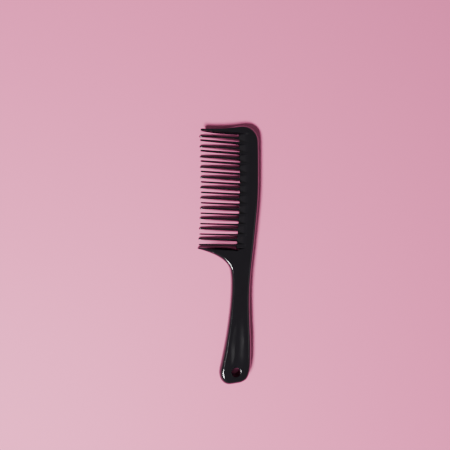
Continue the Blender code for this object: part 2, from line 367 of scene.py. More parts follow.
def smooth_run(points: Outline, spacing: float) -> np.ndarray:
    """Draw a smooth line through a few points and space it evenly.

    Args:
        points: The points that the line passes through, in order.
        spacing: Distance between the points of the result.

    Returns:
        Evenly spaced points, one row each, with both ends kept.
    """
    knots = np.array(points, float)
    ends = (2 * knots[0] - knots[1], 2 * knots[-1] - knots[-2])
    knots = np.vstack([ends[0], knots, ends[1]])
    t = np.linspace(0, 1, SPAN_STEPS, endpoint=False)[:, None]
    spans = []
    for a, b, c, d in zip(knots, knots[1:], knots[2:], knots[3:]):
        bend, twist = 2 * a - 5 * b + 4 * c - d, 3 * b - a - 3 * c + d
        spans.append(0.5 * (2 * b + (c - a) * t + bend * t**2 + twist * t**3))
    line = np.vstack([*spans, knots[-2]])
    along = np.concatenate([[0], np.cumsum(np.linalg.norm(np.diff(line, axis=0), axis=1))])
    places = np.linspace(0, along[-1], max(2, round(along[-1] / spacing) + 1))
    return np.column_stack([np.interp(places, along, line[:, k]) for k in (0, 1)])


class EdgeLine:
    """A smooth line on the outline, from which heights are measured.

    Attributes:
        line: The line's evenly spaced points, for the outline.
        fine: Many more points along it, for measuring.
        inward: Unit direction into the plastic at each fine point.
        tree: Look-up of the fine point nearest to a place.
    """

    def __init__(self, points: Outline, spacing: float) -> None:
        """Draw the line.

        Args:
            points: The points that it passes through; the plastic is on the right of the way along it.
            spacing: Distance between the outline's points.
        """
        self.line = smooth_run(points, spacing)
        self.fine = smooth_run(points, FINE_SPACING)
        way = np.gradient(self.fine, axis=0)
        way /= np.linalg.norm(way, axis=1)[:, None]
        self.inward = np.column_stack([way[:, 1], -way[:, 0]])
        self.tree = KDTree(len(self.fine))
        for i, (x, y) in enumerate(self.fine):
            self.tree.insert((x, y, 0.0), i)
        self.tree.balance()

    def nearest(self, points: np.ndarray) -> np.ndarray:
        """Index of the fine point nearest to each place."""
        return np.array([self.tree.find((x, y, 0.0))[1] for x, y in points])

    def distance(self, points: np.ndarray) -> np.ndarray:
        """Measure from each place square to the line, or straight to its end from beyond it.

        Args:
            points: Places on the outline's plane.

        Returns:
            One distance for each place.
        """
        index = self.nearest(points)
        step = points - self.fine[index]
        straight = np.linalg.norm(step, axis=1)
        square = np.abs((step * self.inward[index]).sum(axis=1))
        ended = (index == 0) | (index == len(self.fine) - 1)
        return np.where(ended & (straight > 0.1), straight, square)


def inside(points: np.ndarray, loop: np.ndarray) -> np.ndarray:
    """Tell which points lie inside a closed loop, by counting the edges that a ray crosses.

    Args:
        points: Points to test, one row each.
        loop: The loop's points in order.

    Returns:
        True for each point inside.
    """
    x, y = points.T
    odd = np.zeros(len(points), bool)
    for (x0, y0), (x1, y1) in zip(loop, np.roll(loop, -1, axis=0)):
        if y0 != y1:
            odd ^= ((y0 > y) != (y1 > y)) & (x < x0 + (x1 - x0) * (y - y0) / (y1 - y0))
    return odd


def soft_min(a: np.ndarray, b: np.ndarray, blend: float | np.ndarray) -> np.ndarray:
    """Take the smaller of two heights, with the crease between them rounded.

    Args:
        a: First height.
        b: Second height.
        blend: Difference in height over which the crease is rounded.

    Returns:
        The blended height.
    """
    near = np.clip(blend - np.abs(a - b), 0, None) / blend
    return np.minimum(a, b) - near**2 * blend / 4


def show_piece(mesh: bpy.types.Mesh, material: bpy.types.Material, node: str) -> None:
    """Show a mesh, under its own name, as the piece that stands for a CAD node.

    Args:
        mesh: The piece's mesh, in metres.
        material: Its finish.
        node: The CAD node that it stands for.
    """
    mesh.materials.append(material)
    piece = bpy.data.objects.new(mesh.name, mesh)
    bpy.context.scene.collection.objects.link(piece)
    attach(piece, "root")
    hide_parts(node)
    log.info("%s: %d faces", mesh.name, len(mesh.polygons))


def write_rub(mesh: bpy.types.Mesh, values: np.ndarray) -> None:
    """Store how rubbed each point of a mesh is, for its material to read."""
    mesh.attributes.new("rub", "FLOAT", "POINT").data.foreach_set("value", values.astype(np.float32))


@dataclass
class NoseLine:
    """The blunt edge that the spine tapers to between the teeth. It bows gently toward the back.

    Attributes:
        peak_x: X of the line where it bows furthest.
        peak_y: Y of that place.
        curve: How fast the line falls away from there, per millimetre.
        half: Half the edge's thickness.
        low: Y where the line starts, beside the heel.
        high: Y where it ends, beside the end guard.
    """

    peak_x: float = 10.1
    peak_y: float = 67.0
    curve: float = 0.0008
    half: float = 0.7
    low: float = 5.7
    high: float = 102.2

    def x(self, y: float) -> float:
        """X of the line at a place along the comb."""
        return self.peak_x - self.curve * (y - self.peak_y) ** 2


@dataclass
class MouldedBack:
    """The comb's continuous moulding: spine, handle, end guard and heel.

    Attributes:
        nose: The line that the teeth stand on.
        thickness: The comb's full thickness.
        draft: How steeply the drafted edges rise, as height over distance.
        heel_draft: The same for the heel's front half, which leans back from the last tooth.
        crown: How much the faces fall from the middle to the rounding.
        crown_reach: Distance from the edge at which a face is level.
        guard_tips: X of the end guard's tip and of the heel's tip.
        guard_rise: Depth that a guard loses at its tip, because each tip stands in one row only.
        guard_run: Length over which it loses it.
        guard_bow: How much that slope bows: 1 is straight.
        hole_centre: Centre of the hang hole.
        hole_radius: Radius of its bore.
        hole_rim: Rounding of its rim.
        dish_centre: Middle of the thumb recess.
        dish_half: Half its width and half its length.
        dish_depth: Its depth.
        dish_turn: Its lean, in radians.
        dish_taper: Its width at the hole's end and at the neck's end, as shares of dish_half.
        roundness: How much deeper the edges' rounding is than it is wide.
        spacing: Distance between the points along the outline.
        pitch: Distance between the points on the flat of the faces.
    """

    nose: NoseLine
    thickness: float
    draft: float = 6.5
    heel_draft: float = 3.0
    crown: float = 0.16
    crown_reach: float = 6.8
    guard_tips: tuple[float, float] = (-23.95, -25.95)
    guard_rise: float = 8.8
    guard_run: float = 13.0
    guard_bow: float = 1.2
    hole_centre: tuple[float, float] = (6.1, -98.8)
    hole_radius: float = 3.8
    hole_rim: float = 0.6
    dish_centre: tuple[float, float] = (7.3, -77.0)
    dish_half: tuple[float, float] = (8.2, 31.0)
    dish_depth: float = 0.80
    dish_turn: float = math.radians(-3.9)
    dish_taper: tuple[float, float] = (1.1, 0.62)
    roundness: float = 1.55
    spacing: float = 0.8
    pitch: float = 0.9

    # From the end guard's tip down the back edge, round the handle and out along the heel to its tip
    RIM: ClassVar[Outline] = [
        (-23.95, 105.2), (-23.7, 105.95), (-22.6, 106.35), (-18.0, 106.5), (-8.0, 107.1), (-1.0, 107.75),
        (5.1, 108.7), (9.5, 109.35), (12.6, 109.5), (16.8, 108.75), (20.9, 106.3), (23.9, 102.6),
        (25.35, 98.4), (25.8, 91.0), (25.92, 74.0), (25.75, 55.0), (24.8, 38.0), (22.3, 12.6),
        (20.4, -4.4), (18.7, -21.4), (18.0, -38.4), (18.4, -55.4), (19.25, -74.0), (19.35, -89.0),
        (18.5, -98.2), (16.0, -104.8), (11.6, -107.9), (6.2, -109.0), (0.3, -109.5), (-3.5, -108.3),
        (-6.4, -105.2), (-7.65, -101.2), (-7.6, -97.0), (-6.0, -89.4), (-2.6, -72.4), (0.0, -55.4),
        (1.8, -38.4), (2.4, -24.0), (1.7, -13.8), (0.3, -9.8), (-1.8, -6.8), (-5.0, -3.8),
        (-8.0, -1.8), (-12.0, 0.4), (-16.1, 2.1), (-21.4, 3.9), (-25.0, 4.85), (-25.75, 5.2), (-25.95, 5.6),
    ]
    # From the heel's tip along its tooth side to the nose line
    HEEL_TOP: ClassVar[Outline] = [
        (-25.95, 5.6), (-25.7, 6.3), (-24.8, 6.7), (-20.0, 6.8), (-12.0, 6.6), (-5.0, 6.3), (3.0, 5.8),
        (7.0, 5.35),
    ]
    # From the nose line along the end guard's tooth side to its tip
    GUARD_UNDERSIDE: ClassVar[Outline] = [
        (9.2, 102.35), (4.0, 102.45), (-3.0, 102.75), (-12.0, 103.25), (-18.0, 103.65),
        (-22.4, 103.95), (-23.6, 104.3), (-23.95, 105.2),
    ]

    # The two guards' zones: above this Y, and between these two Y left of this X
    GUARD_LOW = 101
    HEEL_LOW, HEEL_HIGH, HEEL_RIGHT = -14, 8, 3
    # Width of the edge's rounding: along the comb by Y, then along each guard by X
    BODY_ROUNDING = ((-109, -98, -75, -45, 0, 109), (3.8, 3.6, 2.9, 2.3, 2.2, 2.5))
    GUARD_ROUNDING = ((-24, -20, -12, -3, 5, 12), (0.8, 1.1, 1.5, 2.0, 2.5, 3.0))
    HEEL_ROUNDING = ((-26, -21.4, -16, -8, 0, 3), (0.6, 1.0, 1.6, 2.5, 3.3, 3.7))
    # Where the end guard's back edge turns from rounded to drafted, and the run of that turn
    DRAFT_FROM, DRAFT_RUN = 8, 14
    # Difference in height over which creases are rounded: at drafted edges, and at the spine's taper
    EDGE_CREASE, TAPER_CREASE = 0.9, 1.7
    # How much of the taper's rounding is lost over the ledge at either end of it, and its run
    LEDGE_LOSS, LEDGE_RUN = 1.3, 0.3
    # Gap from the nose line's upper and lower end to the foot of its ledge
    UPPER_LEDGE, LOWER_LEDGE = 0.15, 0.3
    # Turn of the surface at each ring of points, in degrees, at the edges and at the hole's rim
    EDGE_TURNS = (12, 23, 34, 45, 56, 67, 78, 90)
    HOLE_TURNS = (25, 45, 65, 90)
    # Distance that a drafted edge's rings reach in, and that the rings on the flat add
    DRAFT_REACH = 1.45
    FLAT_RINGS = (0.8, 1.7, 2.7)
    # A place closer to another edge than this share of its ring's offset is left out
    KEEP_CLEAR = 0.95
    # How far the wall's normals lean to the face, for each line of the outline
    WALL_LEAN = (0.0, 0.15, 0.4, 0.15)

    def __post_init__(self) -> None:
        """Draw the outline's lines once, because every height is measured from them."""
        self.rim = EdgeLine(self.RIM, self.spacing)
        self.heel_top = EdgeLine(self.HEEL_TOP, self.spacing)
        self.underside = EdgeLine(self.GUARD_UNDERSIDE, self.spacing)
        ys = np.linspace(self.nose.low, self.nose.high, 40)
        self.nose_edge = EdgeLine([(self.nose.x(y), y) for y in ys], 0.6)

    def lines(self) -> list[EdgeLine]:
        """The outline's lines, in order round it."""
        return [self.rim, self.heel_top, self.nose_edge, self.underside]

    def loop(self) -> np.ndarray:
        """Join the lines into the closed outline, without doubled ends.

        Returns:
            The outline's points in order.
        """
        points = np.vstack([edge.line for edge in self.lines()])
        step = np.linalg.norm(points - np.roll(points, 1, axis=0), axis=1)
        return points[step > 0.02]

    def hole_loop(self, grow: float = 0.0) -> np.ndarray:
        """Draw the hang hole's edge, or a ring around it.

        Args:
            grow: How far outside the bore.

        Returns:
            The ring's points.
        """
        turn = np.linspace(0, 2 * math.pi, 56, endpoint=False)
        ring = np.column_stack([np.cos(turn), np.sin(turn)]) * (self.hole_radius + grow)
        return ring + self.hole_centre

    def in_guard(self, points: np.ndarray) -> np.ndarray:
        """Tell which places are on the end guard's side of the tooth field."""
        return points[:, 1] > self.GUARD_LOW

    def in_heel(self, points: np.ndarray) -> np.ndarray:
        """Tell which places are on the heel's side of the tooth field.

        Args:
            points: Places on the outline's plane.

        Returns:
            True for each place there.
        """
        x, y = points.T
        return (y > self.HEEL_LOW) & (y < self.HEEL_HIGH) & (x < self.HEEL_RIGHT)

    def edge_radius(self, points: np.ndarray) -> np.ndarray:
        """Work out how wide the edge's rounding is: most on the handle, least at the slim tips.

        Args:
            points: Places on the outline's plane.

        Returns:
            One width for each place.
        """
        x, y = points.T
        body = np.interp(y, *self.BODY_ROUNDING)
        guard = np.interp(x, *self.GUARD_ROUNDING)
        heel = np.interp(x, *self.HEEL_ROUNDING)
        radius = np.where(self.in_guard(points), np.minimum(body, guard), body)
        return np.where(self.in_heel(points), np.minimum(body, heel), radius)

    def tip_loss(self, points: np.ndarray) -> tuple[np.ndarray, np.ndarray]:
        """Work out the depth that each guard's slope takes, and from which face.

        Args:
            points: Places on the outline's plane.

        Returns:
            The loss at each place, and +1 where the back face slopes away or -1 where the front
            does.
        """
        x = points[:, 0]
        guard, heel = self.in_guard(points), self.in_heel(points)
        tip = np.where(guard, self.guard_tips[0], self.guard_tips[1])
        share = np.clip(1 - (x - tip) / self.guard_run, 0, 1)
        loss = np.where(guard | heel, self.guard_rise * share**self.guard_bow, 0.0)
        return loss, np.where(guard, 1.0, -1.0)

    def dish(self, points: np.ndarray) -> np.ndarray:
        """Depth of the thumb recess: wide and soft toward the hang hole, narrow toward the neck.

        Args:
            points: Places on the outline's plane.

        Returns:
            The depth at each place.
        """
        offset = points - self.dish_centre
        c, s = math.cos(self.dish_turn), math.sin(self.dish_turn)
        u = offset @ (c, s)
        v = offset @ (-s, c)
        half_width, half_length = self.dish_half
        width = half_width * np.interp(v, [-half_length, half_length], self.dish_taper)
        reach = np.sqrt((u / width) ** 2 + (v / half_length) ** 2)
        # Full depth is only at the middle eighth, so the recess has no edge that the eye can find
        share = np.clip((1 - reach) / 0.88, 0, 1)
        return self.dish_depth * share**2 * (3 - 2 * share)

    def heights(self, points: np.ndarray) -> tuple[np.ndarray, np.ndarray]:
        """Work out the front and the back face.

        The long edges are rounded, the edges toward the teeth are steep and drafted, and between
        the guards the spine tapers at 45 degrees to its nose, with a steep ledge at either end.

        Args:
            points: Places on the outline's plane.

        Returns:
            The height of the front face and of the back face at each place.
        """
        x, y = points.T
        rim, nose = self.rim.distance(points), self.nose_edge.distance(points)
        loss, way = self.tip_loss(points)
        half = (self.thickness - loss) / 2
        # Where the comb is thin, the rounding takes at most these shares of half its thickness
        radius = np.minimum(self.edge_radius(points), half * 0.75)
        rise = np.minimum(radius * self.roundness, half * 0.8)
        near = np.clip(rim, 0, radius) / radius
        rounded = half - rise + rise * np.sqrt(np.maximum(1 - (1 - near) ** 2, 0))
        rounded = rounded - self.crown * (1 - np.clip(rim / self.crown_reach, 0, 1)) ** 2
        drafted = soft_min(self.nose.half + self.draft * rim, half, self.EDGE_CREASE)
        turn = np.clip((self.DRAFT_FROM - x) / self.DRAFT_RUN, 0, 1)
        share = np.where(self.in_guard(points), turn, 0.0)
        face = rounded + (drafted - rounded) * share**2 * (3 - 2 * share)
        under = self.nose.half + self.draft * self.underside.distance(points)
        heel = self.heel_top.distance(points)
        face = soft_min(face, under, self.EDGE_CREASE)
        back = soft_min(face, self.nose.half + self.draft * heel, self.EDGE_CREASE)
        face = soft_min(face, self.nose.half + self.heel_draft * heel, self.EDGE_CREASE)
        above = np.clip(y - self.nose.high - self.UPPER_LEDGE, 0, None)
        below = np.clip(self.nose.low - self.LOWER_LEDGE - y, 0, None)
        ramp = self.nose.half + nose + self.draft * (above + below)
        crease = self.TAPER_CREASE - self.LEDGE_LOSS * np.clip((above + below) / self.LEDGE_RUN, 0, 1)
        drop = self.rim_drop(points)
        centre = self.thickness / 2 + way * loss / 2
        front = soft_min(face, ramp, crease) - drop - self.dish(points)
        return centre + front, centre - soft_min(back, ramp, crease) + drop

    def rim_drop(self, points: np.ndarray) -> np.ndarray:
        """Work out how far the hang hole's rounded rim falls below the face.

        Args:
            points: Places on the outline's plane.

        Returns:
            The drop at each place, which is 0 outside the rim.
        """
        rim = self.hole_rim
        hole = np.clip(np.linalg.norm(points - self.hole_centre, axis=1) - self.hole_radius, 0, rim)
        return rim - np.sqrt(np.maximum(rim**2 - (rim - hole) ** 2, 0))

    def rings(self) -> np.ndarray:
        """Place points in rings inside the outline, close together where the edge turns over.

        Returns:
            The points, one row each.
        """
        loop = self.loop()
        tangent = np.roll(loop, -1, axis=0) - np.roll(loop, 1, axis=0)
        normal = np.column_stack([tangent[:, 1], -tangent[:, 0]])
        normal /= np.linalg.norm(normal, axis=1)[:, None]
        steep = np.minimum(self.heel_top.distance(loop), self.underside.distance(loop))
        reach = np.where(steep < 0.05, self.DRAFT_REACH, self.edge_radius(loop))[:, None]
        turned = [reach * (1 - math.cos(math.radians(a))) for a in self.EDGE_TURNS]
        flat = [reach + extra for extra in self.FLAT_RINGS]
        kept = []
        for offset in turned + flat:
            ring = loop + normal * offset
            clear = self.clearance(ring) > offset[:, 0] * self.KEEP_CLEAR
            kept.append(ring[clear & inside(ring, loop)])
        hole = [self.hole_loop(self.hole_rim * (1 - math.cos(math.radians(a)))) for a in self.HOLE_TURNS]
        return np.vstack([*kept, *self.ledges(), *hole, self.hole_loop(self.hole_rim + 0.6)])

    def ledges(self) -> list[np.ndarray]:
        """Place rows of points across the two steep ends of the spine's taper.

        Returns:
            One array for each row.
        """
        rows = []
        for end, way in ((self.nose.high + self.UPPER_LEDGE, 1), (self.nose.low - self.LOWER_LEDGE, -1)):
            xs = np.arange(self.nose.x(end) + 0.6, self.nose.x(end) + 8.2, 0.5)
            for step in (-0.5, 0.0, 0.18, 0.36, 0.55, 0.8, 1.15):
                rows.append(np.column_stack([xs, np.full(len(xs), end + way * step)]))
        return rows

    def clearance(self, points: np.ndarray) -> np.ndarray:
        """Distance from each place to the nearest part of the outline."""
        return np.min([edge.distance(points) for edge in self.lines()], axis=0)

    def grid(self) -> np.ndarray:
        """Fill the flat of the faces with evenly staggered points, clear of the rings and ledges.

        Returns:
            The points, one row each.
        """
        loop = self.loop()
        low, high = loop.min(axis=0), loop.max(axis=0)
        rows = np.arange(low[1], high[1], self.pitch * math.sqrt(3) / 2)
        columns = np.arange(low[0], high[0], self.pitch)
        points = np.array([(x + self.pitch / 2 * (i % 2), y) for i, y in enumerate(rows) for x in columns])
        points = points[inside(points, loop)]
        steep = np.minimum(self.heel_top.distance(points), self.underside.distance(points))
        hole = np.linalg.norm(points - self.hole_centre, axis=1) - self.hole_radius
        x, y = points.T
        by_end = (np.abs(y - self.nose.high) < 1.6) | (np.abs(y - self.nose.low) < 1.8)
        on_ledge = by_end & (np.abs(x - self.nose.x(50) - 3.6) < 4.4)
        clear = (self.rim.distance(points) > self.edge_radius(points) * self.KEEP_CLEAR) & (steep > 1.4)
        clear &= (self.nose_edge.distance(points) > 0.5) & (hole > self.hole_rim + 0.9) & ~on_ledge
        return points[clear]

    def sheet(self, cuts: list[np.ndarray]) -> tuple[np.ndarray, np.ndarray]:
        """Triangulate the outline, its rings and its flat, with edges along each seam.

        Args:
            cuts: Evenly spaced points along each seam.

        Returns:
            The sheet's points and its triangles, which face up.
        """
        loop, hole = self.loop(), self.hole_loop()
        points = np.vstack([loop, hole, *cuts, self.rings(), self.grid()])
        edges = [(i, (i + 1) % len(loop)) for i in range(len(loop))]
        edges += [(len(loop) + i, len(loop) + (i + 1) % len(hole)) for i in range(len(hole))]
        first = len(loop) + len(hole)
        for cut in cuts:
            edges += [(first + i, first + i + 1) for i in range(len(cut) - 1)]
            first += len(cut)
        made = delaunay_2d_cdt([Vector(p) for p in points], edges, [], 0, 1e-3)
        flat = np.array([tuple(p) for p in made[0]])
        faces = np.array(made[2])
        middle = flat[faces].mean(axis=1)
        faces = faces[inside(middle, loop) & ~inside(middle, hole)]
        a, b, c = flat[faces[:, 0]], flat[faces[:, 1]], flat[faces[:, 2]]
        turn = (b - a)[:, 0] * (c - a)[:, 1] - (b - a)[:, 1] * (c - a)[:, 0]
        faces[turn < 0] = faces[turn < 0][:, ::-1]
        # Slivers of no area are dropped
        return flat, faces[np.abs(turn) > 1e-7]

    def rim_directions(self, points: np.ndarray) -> np.ndarray:
        """Work out which way the surface faces on the outline's wall and on the hole's wall.

        Args:
            points: Places on the outline or on the hole's edge.

        Returns:
            A unit direction for each place, leaning up where the wall meets a plain slope.
        """
        choices = np.array([edge.distance(points) for edge in self.lines()])
        away = np.zeros((len(points), 3))
        for k, (edge, lean) in enumerate(zip(self.lines(), self.WALL_LEAN)):
            mine = choices.argmin(axis=0) == k
            away[mine, :2] = -edge.inward[edge.nearest(points[mine])]
            away[mine, 2] = lean
        to_hole = np.array(self.hole_centre) - points
        reach = np.linalg.norm(to_hole, axis=1)
        by_hole = reach < self.hole_radius + 0.05
        away[by_hole, :2] = to_hole[by_hole] / reach[by_hole, None]
        away[by_hole, 2] = 0.0
        return away / np.linalg.norm(away, axis=1)[:, None]

    def whole(self, cuts: list[np.ndarray]) -> tuple[np.ndarray, list[tuple], np.ndarray]:
        """Lift the sheet to both faces and close it with the edge wall.

        Args:
            cuts: Points along each seam.

        Returns:
            The whole moulding's points, its faces and the direction of the surface at each point.
        """
        flat, faces = self.sheet(cuts)
        top, bottom = self.heights(flat)
        edges = {(a, b) for face in faces for a, b in zip(face, np.roll(face, -1))}
        rim = [(a, b) for a, b in edges if (b, a) not in edges]
        count = len(flat)
        walls = [(b, a, a + count, b + count) for a, b in rim]
        # Slopes are measured over a step short enough for the tightest rounding
        step = 0.012
        slopes = []
        for way in ((step, 0.0), (0.0, step)):
            ahead, behind = self.heights(flat + way), self.heights(flat - np.array(way))
            slopes.append([(a - b) / (2 * step) for a, b in zip(ahead, behind)])
        up = np.ones(count)
        front = np.column_stack([-slopes[0][0], -slopes[1][0], up])
        back = np.column_stack([slopes[0][1], slopes[1][1], -up])
        normals = np.vstack([front, back])
        normals /= np.linalg.norm(normals, axis=1)[:, None]
        border = np.array(sorted({i for edge in rim for i in edge}))
        away = self.rim_directions(flat[border])
        normals[border] = away
        normals[border + count] = away * (1, 1, -1)
        points = np.vstack([np.column_stack([flat, top]), np.column_stack([flat, bottom])])
        shells = [tuple(f) for f in faces] + [tuple(f[::-1] + count) for f in faces]
        return points, shells + walls, normals

    def rubbing(self, points: np.ndarray) -> np.ndarray:
        """Work out how much handling has dulled the surface: most where the handle's edge turns over.

        Args:
            points: Places on the outline's plane.

        Returns:
            0 for untouched, up to 1.
        """
        # Strongest 1.1 mm in from the edge, and growing from the neck to the middle of the handle
        edge = np.exp(-(((self.rim.distance(points) - 1.1) / 0.9) ** 2))
        held = np.clip((-20 - points[:, 1]) / 40, 0, 1)
        return edge * (0.10 + 0.15 * held)


@dataclass
class Seams:
    """Where the CAD nodes part the moulding.

    Attributes:
        neck_y: Y of the seam between handle and spine.
        guard_x: X of the seam between spine and end guard.
        heel_top: Upper end of the heel's seam, on the heel's tooth side so that the seam runs clear out.
        heel_bottom: Lower end of the heel's seam.
        field_top: Y of the end guard's underside at the spine.
    """

    neck_y: float
    guard_x: float
    heel_top: tuple[float, float] = (6.4, 5.35)
    heel_bottom: tuple[float, float] = (1.2, -12.2)
    field_top: float = 101.0

    def lines(self) -> list[np.ndarray]:
        """Draw each seam, from a little outside the outline to the other side.

        Returns:
            Evenly spaced points along each seam.
        """
        top, bottom = np.array(self.heel_top), np.array(self.heel_bottom)
        run = (top - bottom) / np.linalg.norm(top - bottom)
        ends = [
            ((-3.0, self.neck_y), (24.0, self.neck_y)),
            ((self.guard_x, self.field_top), (self.guard_x, 111.0)),
            (bottom - run * 2.0, top + run * 0.6),
        ]
        return [smooth_run([tuple(a), tuple(b)], 0.45) for a, b in ends]

    def part_of(self, points: np.ndarray) -> np.ndarray:
        """Name the CAD node that each place belongs to.

        Args:
            points: Places on the outline's plane.

        Returns:
            One node name for each place.
        """
        x, y = points.T
        run = np.subtract(self.heel_top, self.heel_bottom)
        side = (x - self.heel_bottom[0]) * run[1] - (y - self.heel_bottom[1]) * run[0]
        names = np.full(len(points), "spine", dtype=object)
        names[(side < 0) & (y < 8) & (y > self.neck_y)] = "heel_guard"
        names[(x < self.guard_x) & (y > self.field_top)] = "end_guard"
        names[y < self.neck_y] = "handle"
        return names


def part_moulding(back: MouldedBack, seams: Seams, finishes: dict[str, bpy.types.Material]) -> None:
    """Part the whole moulding at its seams into one closed piece for each CAD node.

    Each piece keeps the normals of the whole surface, so the light runs over a seam without a break.

    Args:
        back: The moulding.
        seams: Where it is parted.
        finishes: Material of each node.
    """
    places, faces, normals = back.whole(seams.lines())
    names = seams.part_of(np.array([places[list(f), :2].mean(axis=0) for f in faces]))
    rub = back.rubbing(places[:, :2])
    for node, material in finishes.items():
        mine = [f for f, name in zip(faces, names) if name == node]
        used = sorted({i for f in mine for i in f})
        index = {old: new for new, old in enumerate(used)}
        mesh = bpy.data.meshes.new(node + "_moulding")
        mesh.from_pydata((places[used] * MM).tolist(), [], [[index[i] for i in f] for f in mine])
        write_rub(mesh, rub[used])
        close_seams(mesh)
        mesh.shade_smooth()
        mesh.normals_split_custom_set_from_vertices([tuple(n) for n in normals[used]])
        show_piece(mesh, material, node)


def close_seams(mesh: bpy.types.Mesh) -> None:
    """Close each open loop of edges that a seam left, with one flat face.

    Args:
        mesh: The piece's mesh.
    """
    bm = bmesh.new()
    bm.from_mesh(mesh)
    bmesh.ops.holes_fill(bm, edges=[e for e in bm.edges if e.is_boundary], sides=0)
    bm.to_mesh(mesh)
    bm.free()


@dataclass
class Tooth:
    """One regular tooth: a wedge, slim at its outer face and wide toward the parting plane.

    Attributes:
        node: Its CAD node.
        row: The row that it stands in.
        index: Its place in the row, from the head, starting at 0.
        nose: The line that it stands on.
        thickness: The comb's full thickness.
    """

    node: str
    row: Row
    index: int
    nose: NoseLine
    thickness: float

    # Y of the first rear tooth, the step to the next one and the front row's shift, all at GAUGE_X
    GAUGE_X = -20.6
    FIRST_Y = 100.75
    PITCH = 8.73
    FRONT_OFFSET = -4.45
    # Lean of the first tooth in each row and of the last, between which it changes evenly
    LEAN_TOP: ClassVar[dict[Row, float]] = {Row.FRONT: math.radians(3.3), Row.REAR: math.radians(2.7)}
    LEAN_BOTTOM = math.radians(1.0)
    LAST = 10
    # How far the root runs on past the nose line, into the spine, and the rings of its flare
    SINK = 7.6
    ROOT_RINGS = (-2.8, -1.9, -1.2, -0.6, 0.0, 0.7, 1.5, 2.4, 3.4, 4.6, 6.0, SINK)
    # The root's flare: its run, and what it adds to the outer and the inner edge
    FLARE_RUN, OUTER_FLARE, INNER_FLARE = 1.8, 0.15, 0.8
    # Inside the spine: widening of the inner edge per millimetre, and how far under the face it stays
    SPREAD, UNDER_FACE = 0.30, 0.03
    # Largest rounding of the section's corners, and what it loses per millimetre inside the spine
    CORNER, CORNER_LOSS = 0.36, 0.06
    # Rubbing at the tip, and how fast it fades
    TIP_RUB, RUB_RUN = 0.30, 3.0

    # Along the tooth from its tip: distance, depth, outer width, inner width, drop of the outer edge
    TAPER = np.array([
        (0.0, 2.3, 0.80, 0.90, 0.50),
        (0.12, 2.9, 1.10, 1.16, 0.26),
        (0.35, 3.2, 1.26, 1.32, 0.10),
        (0.8, 3.4, 1.36, 1.42, 0.02),
        (2.2, 3.6, 1.40, 1.48, 0.0),
        (4.3, 3.9, 1.40, 1.52, 0.0),
        (6.4, 4.2, 1.40, 1.56, 0.0),
        (8.6, 4.5, 1.40, 1.60, 0.0),
        (14.0, 5.2, 1.41, 1.64, 0.0),
        (21.0, 5.75, 1.42, 1.70, 0.0),
        (33.0, 5.95, 1.44, 1.80, 0.0),
    ])

    def middle(self, x: float) -> float:
        """Y of the tooth's middle at a place along it."""
        gauge = self.FIRST_Y - self.PITCH * self.index
        if self.row is Row.FRONT:
            gauge += self.FRONT_OFFSET
        top, share = self.LEAN_TOP[self.row], self.index / self.LAST
        lean = top + (self.LEAN_BOTTOM - top) * share
        return gauge - math.tan(lean) * (x - self.GAUGE_X)

    def section(self, x: float, tip: float, root: float) -> list[Vector]:
        """Draw the closed section at a place along the tooth.

        Toward the root the wedge flares. Past it the outer edge stays a hair under the level of the
        spine's face, and runs into it where the spine's taper ends.

        Args:
            x: Place along the tooth.
            tip: X of the tip.
            root: X of the nose line at this tooth.

        Returns:
            The section's points in order.
        """
        reach = x - tip
        depth, outer, inner, drop = [
            float(np.interp(reach, self.TAPER[:, 0], self.TAPER[:, k])) for k in (1, 2, 3, 4)
        ]
        flare = math.exp(-abs(x - root) / self.FLARE_RUN) if x < root else 1.0
        past = max(0.0, x - root)
        half = self.thickness / 2
        outer_z = half - drop - self.UNDER_FACE * min(past / 2, 1.0)
        inner_z = half - depth
        outer += self.OUTER_FLARE * flare
        inner += self.INNER_FLARE * flare + self.SPREAD * past
        corners = []
        for z, wide in ((outer_z, -outer), (outer_z, outer), (inner_z, inner), (inner_z, -inner)):
            corners.append(Vector((x, self.middle(x) + wide / 2, half + z * self.row.value)))
        corner = self.CORNER - self.CORNER_LOSS * min(past, 4.0)
        radius = min(corner, outer * 0.46, (outer_z - inner_z) * 0.4)
        return rounded(corners, radius)

    def build(self, material: bpy.types.Material) -> None:
        """Skin the tooth's sections and show it in place of its CAD node.

        Args:
            material: The tooth's finish.
        """
        low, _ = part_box(self.node)
        tip = low.x / MM + 0.02
        root = self.nose.x(self.middle(self.nose.peak_x))
        near = [tip + step for step in self.TAPER[:-3, 0]]
        shaft = list(np.linspace(tip + 11.0, root - 4.0, 9))
        flare = [root + step for step in self.ROOT_RINGS]
        mesh = skin(self.node + "_moulding", [self.section(x, tip, root) for x in near + shaft + flare])
        past_tip = np.array([vert.co.x / MM - tip for vert in mesh.vertices])
        write_rub(mesh, self.TIP_RUB * np.exp(-past_tip / self.RUB_RUN))
        show_piece(mesh, material, self.node)


def rounded(corners: list[Vector], radius: float, steps: int = 6) -> list[Vector]:
    """Round the corners of a section, each with a short quadratic curve.

    Args:
        corners: The section's corners in order.
        radius: How far from a corner its curve starts.
        steps: Points on each curve.

    Returns:
        The rounded section's points in order.
    """
    ring = []
    for i, corner in enumerate(corners):
        before = (corners[i - 1] - corner).normalized() * radius
        after = (corners[(i + 1) % len(corners)] - corner).normalized() * radius
        for step in range(steps):
            t = step / (steps - 1)
            ring.append(corner + before * (1 - t) ** 2 + after * t**2)
    return ring


